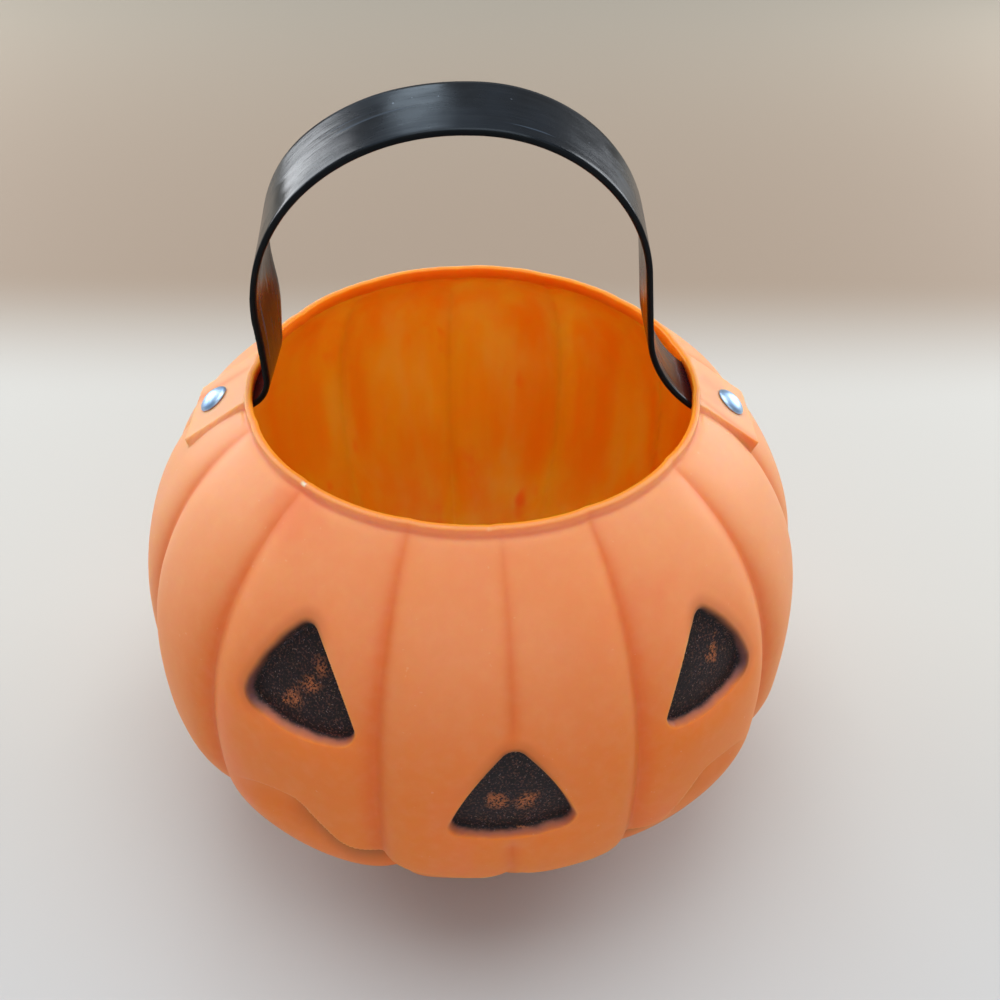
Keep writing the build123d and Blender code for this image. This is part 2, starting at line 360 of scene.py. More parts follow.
def bulged_outline(corners):
    """A triangle with bowed sides, drawn in by its corners' radius; corners run anticlockwise.

    It is the common part of three discs, and its tips are where the discs' edges cross.
    """
    discs = []
    for (ax, ay), (bx, by) in zip(corners, corners[1:] + corners[:1]):
        half = hypot(bx - ax, by - ay) / 2
        radius = (half**2 + side_bulge**2) / (2 * side_bulge)
        back = radius - side_bulge
        out_x, out_y = (by - ay) / (2 * half), (ax - bx) / (2 * half)
        middle = Vector(((ax + bx) / 2 - back * out_x, (ay + by) / 2 - back * out_y))
        discs.append((middle, radius - pocket_corner_radius))
    tips = []
    for corner, (one, one_radius), (two, two_radius) in zip(corners, discs[-1:] + discs[:-1], discs):
        apart = two - one
        along = (apart.length_squared + one_radius**2 - two_radius**2) / (2 * apart.length)
        off = sqrt(one_radius**2 - along**2)
        way = apart.normalized()
        crossings = [one + along * way + sense * off * Vector((-way.y, way.x)) for sense in (-1, 1)]
        tips.append(min(crossings, key=lambda tip: (tip - Vector(corner)).length))
    return discs, tips


def outline_distance(outline, point):
    """Distance outside a rounded triangle, negative inside it."""
    discs, tips = outline
    gaps = [(point - middle).length - radius for middle, radius in discs]
    gap = max(gaps)
    middle, radius = discs[gaps.index(gap)]
    if gap > 0:
        foot = middle + radius * (point - middle).normalized()
        if any((foot - disc[0]).length > disc[1] + wall / 100 for disc in discs):
            gap = min((point - tip).length for tip in tips)
    return gap - pocket_corner_radius


def face_pockets():
    """The eyes and the nose: the angle that each faces, outer side, outline and middle height."""
    pockets = []
    for side in (-1, 1):
        turn, drop = (right_eye_turn, right_eye_drop) if side > 0 else (0, 0)
        inner = (-side * eye_inner_reach, eye_foot_rise - drop)
        outer = (side * eye_outer_reach, eye_foot_rise + eye_outer_lift - drop)
        top = (side * eye_top_shift, eye_top_rise - drop)
        corners = [inner, outer, top] if side > 0 else [outer, inner, top]
        middle_rise = (eye_foot_rise + eye_top_rise) / 2 - drop
        pockets.append((side * (eye_angle + turn), side, bulged_outline(corners), middle_rise))
    nose = [(-nose_half_width, nose_foot_rise), (nose_half_width, nose_foot_rise), (0, nose_top_rise)]
    pockets.append((0, 0, bulged_outline(nose), (nose_foot_rise + nose_top_rise) / 2))
    return pockets


pockets = face_pockets()


def pocket_place(point):
    """Distance from the nearest eye or nose outline, negative inside, and place from its middle."""
    angle, reach = face_angle(point), hypot(point.x, point.y)
    rise = point.z - belly_height
    nearest = (pocket_zone, 0, 0)
    for facing, side, outline, middle_rise in pockets:
        turn = radians(angle - facing)
        if abs(turn) < pi / 3:
            across = reach * sin(turn)
            distance = outline_distance(outline, Vector((across, rise)))
            if distance < nearest[0]:
                nearest = (distance, side * across, rise - middle_rise)
    return nearest


def arc_through(half_width, end_rise, middle_rise):
    """Middle height and radius of the circle through two level ends and the middle point between them."""
    sag = middle_rise - end_rise
    radius = (half_width**2 + sag**2) / (2 * abs(sag))
    return (middle_rise - radius if sag > 0 else middle_rise + radius), radius


def lip_heights(across):
    """Heights of the upper and the lower lip at a distance from the face's middle."""
    drop = right_cheek_drop * smooth_step(0, cheek_fold_reach, across)
    across = abs(across)
    middle, radius = arc_through(mouth_half_width, mouth_corner_rise, -lower_lip_drop)
    lower = middle - sqrt(max(radius**2 - across**2, 0))
    middle, radius = arc_through(cheek_fold_reach, cheek_fold_rise, -upper_lip_drop)
    upper = middle - sqrt(max(radius**2 - across**2, 0))
    climb = cheek_fold_rise + cheek_slope * (across - cheek_fold_reach)
    share = (across - cheek_crest_reach) / (mouth_half_width - cheek_crest_reach)
    crest = cheek_crest_rise - (cheek_crest_rise - mouth_corner_rise) * share**2
    cheek = smooth_min(climb, crest, lip_blend)
    upper = -smooth_min(-upper, -cheek, lip_blend) if across < cheek_crest_reach else cheek
    return upper - drop, lower - drop


def mouth_place(point):
    """Distance under the upper lip, share of the way to the lower lip, and fade towards the mouth's ends."""
    angle, reach = face_angle(point), hypot(point.x, point.y)
    if abs(angle) > face_limit:
        return -pocket_zone, 1, 0
    across = reach * sin(radians(angle))
    upper, lower = lip_heights(across)
    drop = upper - (point.z - belly_height)
    ends = smooth_step(0, mouth_end_fade, mouth_half_width - abs(across))
    return drop, drop / max(upper - lower, lip_blend), ends


def mouth_sink(point, lift):
    """Depth of the smile: it drops under the upper lip and rises gently to the lower one.

    The wall's inside drops a lift higher than its outside, so that the two keep apart.
    """
    drop, share, ends = mouth_place(point)
    drop += lift
    if drop < -lip_run or share > 1:
        return 0
    fall = smooth_step(-lip_run / 4, lip_run, drop)
    return mouth_depth * ends * fall * (1 - smooth_step(lower_lip_start, 1, share))


def pocket_sink(distance):
    """Depth of an eye or the nose at a distance from its outline, with its edge rolled over."""
    roll = exp(-((max(distance, 0) / pocket_roll_reach) ** 2))
    fall = 1 - smooth_step(-pocket_wall_run, 0, distance)
    return pocket_roll_depth * roll + (pocket_depth - pocket_roll_depth) * fall


# Slope and place of the rivet pads, from the shoulder line where the rivets stand
rivet_turn = acos((rivet_reach / body_radius) ** (shoulder_roundness / 2))
collar_turn = acos((shoulder_radius / body_radius) ** (shoulder_roundness / 2))
crown_height, crown_tilt = crown_line(rivet_turn / collar_turn)[1:]
pad_slope = pi / 2 - crown_tilt - radians(pad_flattening)
pad_height = crown_height + pad_lift
pad_above_rivet = (rivet_offset + shoulder_ledge + wall / 2) / cos(pad_slope)
pad_length = pad_above_rivet + pad_below_rivet
collar_tilt = pi / 2 - 0.001


def pad_axes(side):
    """Rivet's place on a pad, the way down the slope and the way out of the pad."""
    down = Vector((side * cos(pad_slope), 0, -sin(pad_slope)))
    out = Vector((side * sin(pad_slope), 0, cos(pad_slope)))
    return Vector((side * rivet_reach, 0, pad_height)), down, out


def pad_place(point, side):
    """Distance outside a pad's outline, and height over its flat top."""
    place, down, out = pad_axes(side)
    along = (point - place).dot(down) - (pad_below_rivet - pad_above_rivet) / 2
    over_x = abs(along) - pad_length / 2 + pad_corner_radius
    over_y = abs(point.y) - pad_width / 2 + pad_corner_radius
    corner = hypot(max(over_x, 0), max(over_y, 0))
    distance = corner + min(max(over_x, over_y), 0) - pad_corner_radius
    return distance, (point - place).dot(out)


def near_edges(point):
    """Distance to the nearest moulded edge: an eye, the nose, the upper lip or a pad."""
    near = abs(pocket_place(point)[0] + pocket_wall_run / 2)
    drop, _, ends = mouth_place(point)
    if ends > 0:
        near = min(near, abs(drop - lip_run / 2))
    if abs(point.y) < pad_width and abs(point.x) > shoulder_radius / 2 and point.z > belly_height:
        side = 1 if point.x > 0 else -1
        near = min(near, abs(pad_place(point, side)[0]))
    return near


def edge_bow(edge, height):
    """Turn of a crease from its own angle: the front lobes are widest at the belly."""
    if abs(edge) != rib_edge_angles[front_ribs]:
        return 0
    rise = (height - belly_height) / (shoulder_height - belly_height)
    return (1 if edge > 0 else -1) * front_bow * (1 - 2 * rise**2)


def press_ribs(bm, fade, crease):
    """Draws the spun body in along its creases and crowds the mesh towards them."""
    for vert in bm.verts:
        reach = hypot(vert.co.x, vert.co.y)
        if reach < wall:
            continue
        angle = face_angle(vert.co)
        start, end = next(rib for rib in ribs() if angle <= rib[1])
        share = (2 * angle - start - end) / (end - start)
        share = (1 + crease_crowding) * share - crease_crowding * share**3
        edge = start if share < 0 else end
        soft = 1 + crease_round - hypot(1 - abs(share), crease_round)
        depth = (crease_depth if edge else middle_crease_depth) * vert[fade]
        if not edge:
            depth *= smooth_step(0, pocket_calm, pocket_place(vert.co)[0])
        # Closeness to the crease, which the skin uses for painted shade in the creases
        vert[crease] = sqrt(depth / crease_depth) * soft**crease_band
        reach -= depth * soft**crease_sharpness
        start += edge_bow(start, vert.co.z)
        end += edge_bow(end, vert.co.z)
        vert.co.xy = ring_point(reach, (start + end) / 2 + share * (end - start) / 2)


def refine(bm, inside, reach):
    """Halves the mesh near the moulded edges of the outside."""
    close = {v for v in bm.verts if v[inside] < 0.5 and near_edges(v.co) < reach}
    edges = [e for e in bm.edges if e.verts[0] in close and e.verts[1] in close]
    bmesh.ops.subdivide_edges(bm, edges=edges, cuts=1, use_grid_fill=True)


def mouth_paint_and_shade_cover(point, drop, ends):
    """How much dark brown lies under the upper lip, partly the mouth's paint and partly painted shade in its
    recess: a band that narrows towards the mouth's ends.
    """
    across = abs(hypot(point.x, point.y) * sin(radians(face_angle(point))))
    width = mouth_paint_and_shade_width + mouth_paint_and_shade_spread * (1 - smooth_step(*mouth_paint_and_shade_taper, across))
    fade = (width - mouth_paint_and_shade_fade, width + mouth_paint_and_shade_fade)
    cover = smooth_step(*mouth_paint_and_shade_start, drop) * (1 - smooth_step(*fade, drop))
    return cover * ends * (1 - smooth_step(*mouth_paint_and_shade_end, across))


def press_face(bm, layers):
    """Presses the eyes, nose and mouth in, and keeps where each point lies from their edges."""
    for vert in bm.verts:
        inside = vert[layers["inside"]] > 0.5
        place = (pocket_zone, 0, 0)
        if vert.co.z > belly_height / 2:
            place = pocket_place(vert.co)
        vert[layers["pocket_edge"]], vert[layers["pocket_out"]], vert[layers["pocket_rise"]] = place
        if abs(face_angle(vert.co)) > face_limit or vert.co.z > shoulder_height:
            continue
        drop, _, ends = mouth_place(vert.co)
        if ends > 0 and not inside:
            # Dark brown under the upper lip: the mouth's paint with painted shade
            vert[layers["mouth_paint_and_shade"]] = mouth_paint_and_shade_cover(vert.co, drop, ends)
        depth = pocket_sink(place[0] - (wall if inside else 0))
        depth += mouth_sink(vert.co, lip_inner_lift if inside else 0)
        tilt = vert[layers["tilt"]]
        out = Vector((vert.co.x, vert.co.y, 0)).normalized()
        vert.co -= depth * (out * cos(tilt) + Vector((0, 0, sin(tilt))))


def flatten_pads(bm, tilt, inside):
    """Flattens the shoulder under each rivet into a raised pad, inside and outside."""
    for vert in bm.verts:
        if vert.co.z < belly_height or abs(vert.co.y) > pad_width or abs(vert.co.x) < opening_radius / 2:
            continue
        side = 1 if vert.co.x > 0 else -1
        out = pad_axes(side)[2]
        distance, height = pad_place(vert.co, side)
        share = 1 - smooth_step(-pad_edge_run / 2, pad_edge_run / 2, distance)
        reach = hypot(vert.co.x, vert.co.y)
        on_collar = vert[tilt] > collar_tilt
        if on_collar and reach < (rim_radius + opening_radius) / 2:
            vert.co.z += max(-pad_wall - height, 0) / out.z * share
        elif on_collar:
            vert.co.z += max(-height, 0) / out.z * share
        elif vert[inside] > 0.5:
            vert.co -= (height + pad_wall) * share * out
        else:
            vert.co -= height * share * out


def trim_rim(bm, nick):
    """Leaves the cut edge of the collar slightly uneven, with two nicks."""
    for vert in bm.verts:
        if vert.co.z > pail_height - 2 * lip_round:
            ripple = rim_ripple_share * noise.noise(vert.co * rim_ripple_scale)
            wave = rim_wave * (noise.noise(vert.co * rim_wave_scale) + ripple)
            for angle, strength in nicks:
                gap = rim_radius * radians(face_angle(vert.co) - angle)
                vert[nick] = max(vert[nick], strength * exp(-((gap / nick_width) ** 2)))
            vert.co.z += wave - rim_wave - nick_depth * vert[nick]
            vert.co.xy *= 1 + wave / rim_radius


def finish_mesh(bm, name):
    """Smooth mesh object from a bmesh."""
    for face in bm.faces:
        face.smooth = True
    mesh = bpy.data.meshes.new(name)
    bm.to_mesh(mesh)
    bm.free()
    piece = bpy.data.objects.new(name, mesh)
    bpy.context.collection.objects.link(piece)
    return piece


def make_shell():
    """The whole hollow pumpkin as one moulded wall."""
    bm = bmesh.new()
    moulded = ("tilt", "fade", "inside", "crease", "nick")
    painted = ("pocket_edge", "pocket_out", "pocket_rise", "mouth_paint_and_shade")
    layers = {name: bm.verts.layers.float.new(name) for name in moulded + painted}
    profile = shell_profile()
    for start, end in ribs():
        chain = []
        for radius, height, row_tilt, row_fade, row_inside in profile:
            vert = bm.verts.new((*ring_point(radius, start), height))
            vert[layers["tilt"]] = row_tilt
            vert[layers["fade"]] = row_fade
            vert[layers["inside"]] = row_inside
            chain.append(vert)
        edges = [bm.edges.new(pair) for pair in zip(chain, chain[1:])]
        step = front_step if max(abs(start), abs(end)) <= rib_edge_angles[front_ribs] else back_step
        bmesh.ops.spin(
            bm,
            geom=chain + edges,
            axis=(0, 0, 1),
            cent=(0, 0, 0),
            angle=radians(end - start),
            steps=round((end - start) / step),
        )
    bmesh.ops.remove_doubles(bm, verts=bm.verts, dist=wall / 100)
    press_ribs(bm, layers["fade"], layers["crease"])
    for reach in refine_reaches:
        refine(bm, layers["inside"], reach)
    flatten_pads(bm, layers["tilt"], layers["inside"])
    press_face(bm, layers)
    trim_rim(bm, layers["nick"])
    bmesh.ops.triangulate(bm, faces=[face for face in bm.faces if len(face.verts) > 4])
    bmesh.ops.recalc_face_normals(bm, faces=bm.faces)
    return finish_mesh(bm, "pumpkin_body")


# Strap handle


def strap_route():
    """Corners and bend radii of the strap's middle line, from the front, and its hinge's height."""
    depth = pad_wall + strap_thickness / 2
    reach = rivet_reach - depth * sin(pad_slope)
    height = pad_height - depth * cos(pad_slope)
    lean = tan(radians(right_leg_tilt))
    right_leg = opening_radius - right_leg_gap
    left_leg = opening_radius - left_leg_gap
    right_bend = right_leg + bend_drop * lean
    hinge = height + (reach - right_bend) * tan(pad_slope) + bend_drop
    tail = (reach + strap_tail * cos(pad_slope), height - hinge - strap_tail * sin(pad_slope))
    exit_reach = sqrt(opening_radius**2 - (strap_width / 2) ** 2) - lip_clearance
    left_bend_rise = height - hinge + (reach - left_leg) * tan(pad_slope)
    right_top = right_leg - handle_rise * lean
    crown = crown_fill_share * (left_leg + right_top)
    left_turn = pi / 2 - pad_slope
    right_turn = left_turn - radians(right_leg_tilt)
    corners = [
        (-tail[0], tail[1]),
        (-left_leg, left_bend_rise),
        (-left_leg, handle_rise),
        (right_top, handle_rise),
        (right_bend, -bend_drop),
        tail,
    ]
    radii = [
        (exit_reach - left_leg) / cos(pad_slope) / tan(left_turn / 2),
        crown * crown_left_share,
        crown * (1 - crown_left_share) / tan(radians(90 - right_leg_tilt) / 2),
        (exit_reach - right_bend) / cos(pad_slope) / tan(right_turn / 2),
    ]
    return [Vector(corner) for corner in corners], radii, hinge


def route_pieces(corners, radii):
    """Straight runs and arcs of a route: start, direction, length and bend per length of each."""
    pieces, start = [], corners[0]
    for before, corner, after, radius in zip(corners, corners[1:], corners[2:], radii):
        way_in, way_out = (corner - before).normalized(), (after - corner).normalized()
        turn = atan2(way_in.x * way_out.y - way_in.y * way_out.x, way_in.dot(way_out))
        cut = radius * tan(abs(turn) / 2)
        bend_start = corner - cut * way_in
        pieces.append((start, way_in, (bend_start - start).length, 0))
        pieces.append((bend_start, way_in, radius * abs(turn), turn / (radius * abs(turn))))
        start = corner + cut * way_out
    way = (corners[-1] - start).normalized()
    pieces.append((start, way, (corners[-1] - start).length, 0))
    return pieces


def route_point(pieces, along):
    """Point and direction of a route at a distance along it."""
    for start, way, length, bend in pieces:
        if along <= length or start is pieces[-1][0]:
            turn = bend * along
            turned = Matrix.Rotation(turn, 2) @ way
            if not bend:
                return start + along * way, turned
            side = Vector((-way.y, way.x))
            return start + (sin(turn) * way + (1 - cos(turn)) * side) / bend, turned
        along -= length
    return start, way


def strap_section(share):
    """Point on the strap's rounded edge: width and thickness, for a share of the way round."""
    half, thick, edge = strap_width / 2, strap_thickness / 2, strap_edge_radius
    run, rise, bow = 2 * (half - edge), 2 * (thick - edge), edge * pi / 2
    left = share * (2 * run + 2 * rise + 4 * bow)
    corners = (
        (1, -1, 0, rise, 0, 1),
        (1, 1, 90, run, -1, 0),
        (-1, 1, 180, rise, 0, -1),
        (-1, -1, 270, run, 1, 0),
    )
    for sense_x, sense_y, heading, length, step_x, step_y in corners:
        if left <= length:
            start_x = sense_x * (half - edge) + edge * (sense_x if step_y else 0)
            start_y = sense_y * (thick - edge) + edge * (sense_y if step_x else 0)
            return start_x + step_x * left, start_y + step_y * left
        left -= length
        if left <= bow:
            turn = radians(heading) + left / edge
            centre_x = sense_x * (half - edge) if step_y else -sense_x * (half - edge)
            centre_y = -sense_y * (thick - edge) if step_y else sense_y * (thick - edge)
            return centre_x + edge * cos(turn), centre_y + edge * sin(turn)
        left -= bow
    return half, edge - thick


def strap_twist(point, width):
    """How far the strap's far edge is turned inwards on its left leg and outwards above it."""
    if point.x > 0:
        return 0
    shift = sum(inward * exp(-(((point.y - rise) / reach) ** 2)) for rise, reach, inward in left_twist)
    return shift * (0.5 - width / strap_width) * smooth_step(0, strap_width, -point.x)


def make_strap():
    """The strap as one flat band, with its ends upright in the pail and its arch leant forwards."""
    corners, radii, hinge = strap_route()
    pieces = route_pieces(corners, radii)
    total = sum(length for _, _, length, _ in pieces)
    bm = bmesh.new()
    along_layer, across_layer = [bm.verts.layers.float.new(name) for name in ("along", "across")]
    bmesh.ops.create_grid(bm, x_segments=strap_steps, y_segments=strap_ring_steps, size=0.5)
    for vert in bm.verts:
        along = (vert.co.x + 0.5) * total
        width, thick = strap_section(vert.co.y + 0.5)
        end = min(along, total - along)
        if end < strap_tail_radius:
            inset = strap_tail_radius - sqrt(strap_tail_radius**2 - (strap_tail_radius - end) ** 2)
            width *= 1 - inset / (strap_width / 2)
        point, way = route_point(pieces, along)
        lean = radians(handle_lean) * smooth_step(-strap_width / 2, strap_width, point.y)
        if width > strap_width / 2 - strap_edge_radius and point.y > 0:
            rough = noise.noise(Vector((along * flash_scale, 0, 0)))
            fine = noise.noise(Vector((along * flash_fine_scale, flash_fine_offset, 0)))
            width += flash_depth * max(rough + flash_fine_share * fine, flash_lowest)
        up, front = Vector((0, -sin(lean), cos(lean))), Vector((0, -cos(lean), -sin(lean)))
        vert[along_layer], vert[across_layer] = along, width
        out_x, out_y = -way.y, way.x
        reach = point.x + thick * out_x + strap_twist(point, width)
        vert.co = Vector((reach, 0, hinge)) + (point.y + thick * out_y) * up + width * front
    bmesh.ops.remove_doubles(bm, verts=bm.verts, dist=strap_edge_radius / 20)
    bmesh.ops.holes_fill(bm, edges=[edge for edge in bm.edges if edge.is_boundary], sides=0)
    bmesh.ops.recalc_face_normals(bm, faces=bm.faces)
    return finish_mesh(bm, "strap_handle"), hinge


# Rivets


def make_rivet_cap(name, side):
    """Domed rivet head with a small rolled edge, seated on its pad."""
    place, down, out = pad_axes(side)
    dome = (cap_radius**2 + (cap_height - cap_edge) ** 2) / (2 * (cap_height - cap_edge))
    profile = [(0, 0), (cap_radius * cap_foot_share, 0)]
    profile += [(cap_radius, cap_edge * share) for share in cap_edge_shares]
    for i in range(1, dome_steps + 1):
        reach = cap_radius * (1 - i / dome_steps)
        profile.append((reach, cap_height - dome + sqrt(dome**2 - reach**2)))
    bm = bmesh.new()
    chain = [bm.verts.new(place + reach * down + rise * out) for reach, rise in profile]
    edges = [bm.edges.new(pair) for pair in zip(chain, chain[1:])]
    bmesh.ops.spin(
        bm,
        geom=chain + edges,
        axis=out,
        cent=place,
        angle=2 * pi,
        steps=cap_steps,
        use_merge=True,
    )
    bmesh.ops.remove_doubles(bm, verts=bm.verts, dist=cap_edge / 100)
    bmesh.ops.recalc_face_normals(bm, faces=bm.faces)
    return finish_mesh(bm, name)


# Materials


class Value:
    """A value in a material's node tree: sums and products of it add Math nodes."""

    def __init__(self, tree, socket=None):
        self.tree, self.socket = tree, socket

    def node(self, kind, settings=None, sockets=None, output=0):
        """Adds a node: its settings first, then the values or links of its sockets."""
        made = self.tree.nodes.new(kind)
        for name, value in (settings or {}).items():
            setattr(made, name, value)
        for name, value in (sockets or {}).items():
            if isinstance(value, Value):
                self.tree.links.new(value.socket, made.inputs[name])
            else:
                made.inputs[name].default_value = value
        return Value(self.tree, None if output is None else made.outputs[output])

    def math(self, operation, *values):
        return self.node("ShaderNodeMath", {"operation": operation}, dict(enumerate(values)))

    def __add__(self, other):
        return self.math("ADD", self, other)

    def __radd__(self, other):
        return self.math("ADD", other, self)

    def __sub__(self, other):
        return self.math("SUBTRACT", self, other)

    def __rsub__(self, other):
        return self.math("SUBTRACT", other, self)

    def __mul__(self, other):
        return self.math("MULTIPLY", self, other)

    def __rmul__(self, other):
        return self.math("MULTIPLY", other, self)

    def ramp(self, low, high):
        """Smooth ramp from 0 at low to 1 at high."""
        values = {"Value": self, "From Min": low, "From Max": high}
        return self.node("ShaderNodeMapRange", {"interpolation_type": "SMOOTHSTEP"}, values)

    def mixed(self, first, second):
        """Colour that goes from the first to the second with this value.

        The Mix node's sockets of one name differ by type, so they go by number.
        """
        return self.node("ShaderNodeMix", {"data_type": "RGBA"}, {0: self, 6: first, 7: second}, output=2)


def colour(red, green, blue):
    """Linear colour from the values that an image shows, out of 255."""
    shares = [value / 255 for value in (red, green, blue)]
    return (*[s / 12.92 if s <= 0.04045 else ((s + 0.055) / 1.055) ** 2.4 for s in shares], 1)


# Colours of the pail's outside
front_orange = colour(236, 126, 22)
# Painted light on the shoulders, which face the overhead lamp
shoulder_light_peach = colour(249, 163, 112)
mottle_pink = colour(242, 124, 76)
# Painted shade low on the body
foot_shade_orange = colour(220, 114, 38)
# Painted shade in the creases
crease_shade_orange = colour(226, 106, 14)
grain_peach = colour(255, 196, 156)
lip_peach = colour(246, 150, 92)
speck_pale = colour(255, 226, 200)
nick_pale = colour(255, 234, 224)

# Colours of its inside
# Painted light: the lining is lighter and yellower than the outside, standing in part for light that comes
# through the wall
glow_lit_lining_orange = colour(255, 176, 20)
streak_yellow = colour(255, 200, 52)
smear_yellow = colour(255, 218, 104)
blot_orange = colour(254, 132, 8)
throat_orange = colour(252, 130, 10)

# Colours of the face's paint, with painted shade and painted light at the edges of the eyes, the nose and
# the mouth
# Overspray with painted shade outside the pockets' upper and outer edges
mist_and_shade_brown = colour(176, 92, 30)
halo_shade_black = colour(44, 16, 8)
# Overspray on the pockets' lower walls, lighter as painted light where they face up
lit_spray_mauve = colour(128, 84, 88)
paint_black = colour(14, 6, 8)
paint_grey = colour(36, 21, 22)
bare_brown = colour(96, 58, 48)
glint_grey = colour(150, 124, 120)
worn_orange = colour(178, 104, 58)
# Partly the mouth's paint, partly painted shade under the upper lip
mouth_paint_and_shade_brown = colour(84, 36, 12)

# Colours of the strap, the rivets and the floor
# Painted reflection: both strap colours are tinted blue, and the lighter one lies in patches as painted
# sheen
strap_black = colour(5, 8, 13)
strap_painted_sheen = colour(13, 20, 29)
scratch_grey = colour(84, 100, 120)
strap_speck = colour(120, 132, 146)
cut_black = colour(8, 7, 7)
# Painted reflection: the rivets' metal is tinted blue for the sky it reflects
sky_tinted_metal_dark = colour(160, 196, 236)
sky_tinted_metal_pale = colour(198, 222, 246)
floor_white = colour(206, 211, 217)
floor_grey = colour(196, 196, 192)
backdrop_brown = colour(153, 137, 121)
backdrop_grey = colour(178, 173, 160)


def new_material(name):
    """Empty material, with a value that adds nodes to it."""
    material = bpy.data.materials.new(name)
    material.use_nodes = True
    material.node_tree.nodes.clear()
    return material, Value(material.node_tree)


def object_place(start):
    """Object coordinates."""
    return start.node("ShaderNodeTexCoord", output=3)


def axis_of(place, axis):
    """One coordinate of a place: 0, 1 or 2 for X, Y or Z."""
    return place.node("ShaderNodeSeparateXYZ", {}, {"Vector": place}, output=axis)


def attribute(start, name):
    """A number kept on the mesh's points."""
    return start.node("ShaderNodeAttribute", {"attribute_name": name}, output=2)


def noise_of(place, scale, detail=3.0, roughness=0.55, stretch=(1, 1, 1), offset=(0, 0, 0)):
    """Noise value at a place, stretched along the axes."""
    moved = place.node("ShaderNodeMapping", {}, {"Vector": place, "Scale": stretch, "Location": offset})
    sockets = {"Vector": moved, "Scale": scale, "Detail": detail, "Roughness": roughness}
    return place.node("ShaderNodeTexNoise", {}, sockets)


def bump_of(height, distance, strength=1.0):
    """Normal of a bumpy surface."""
    sockets = {"Height": height, "Distance": distance, "Strength": strength}
    return height.node("ShaderNodeBump", {}, sockets)


def put_out(start, sockets):
    """Ends a material with its surface."""
    shader = start.node("ShaderNodeBsdfPrincipled", {}, sockets)
    shader.node("ShaderNodeOutputMaterial", {}, {"Surface": shader}, output=None)


def shell_skin(start, place, fine):
    """Outside of the pail: peach shoulders and sides, lighter on top as painted light; deeper orange below
    and in creases as painted shade; pink mottling.
    """
    height, back = axis_of(place, 2), axis_of(place, 1)
    broad = noise_of(place, 16, 3)
    patch = noise_of(place, 24, 3, stretch=(1, 1, 0.55), offset=(0.4, 0.9, 0.2))
    # Painted light: lighter towards the shoulders and the sides, with random tone mixed in
    shoulder = height.ramp(*shoulder_light_tone) * 0.75 + back.ramp(*side_tone) * 0.35 + (broad - 0.5) * 0.5
    skin = shoulder.mixed(front_orange, shoulder_light_peach)
    skin = (patch.ramp(0.56, 0.74) * 0.5).mixed(skin, mottle_pink)
    # Painted shade: deeper orange towards the bottom
    skin = (height.ramp(*foot_shade_tone) * 0.75).mixed(skin, foot_shade_orange)
    # Painted shade: deeper orange along the creases
    crease = attribute(start, "crease")
    skin = (crease.ramp(0.02, 0.8) * 0.6).mixed(skin, crease_shade_orange)
    skin = ((fine - 0.5) * 0.25 + 0.02).mixed(skin, grain_peach)
    lip = height.ramp(*lip_tone)
    skin = (lip * 0.7).mixed(skin, lip_peach)
    speck = noise_of(place, 620, 1, offset=(0.3, 0.7, 0.5)).ramp(0.765, 0.79)
    skin = (speck * 0.15).mixed(skin, speck_pale)
    return (attribute(start, "nick").ramp(0.2, 1.1) * lip).mixed(skin, nick_pale)


def shell_lining(place):
    """Inside of the pail: saturated orange, lighter than the outside as painted light for the glow through
    the wall, streaked downwards, with pale smears and deeper blots.
    """
    streak = noise_of(place, 60, 3, stretch=(1, 1, 0.05))
    blot = noise_of(place, 62, 2, stretch=(1, 1, 0.45), offset=(0.3, 0.1, 0.2))
    smear = noise_of(place, 34, 3, stretch=(1, 1, 0.3), offset=(0.7, 0.4, 0.1))
    lining = streak.ramp(0.3, 0.7).mixed(glow_lit_lining_orange, streak_yellow)
    lining = (smear.ramp(0.48, 0.74) * 0.6).mixed(lining, smear_yellow)
    lining = (blot.ramp(0.65, 0.80) * 0.8).mixed(lining, blot_orange)
    throat = axis_of(place, 2).ramp(*throat_tone)
    return (throat * 0.9).mixed(lining, throat_orange)


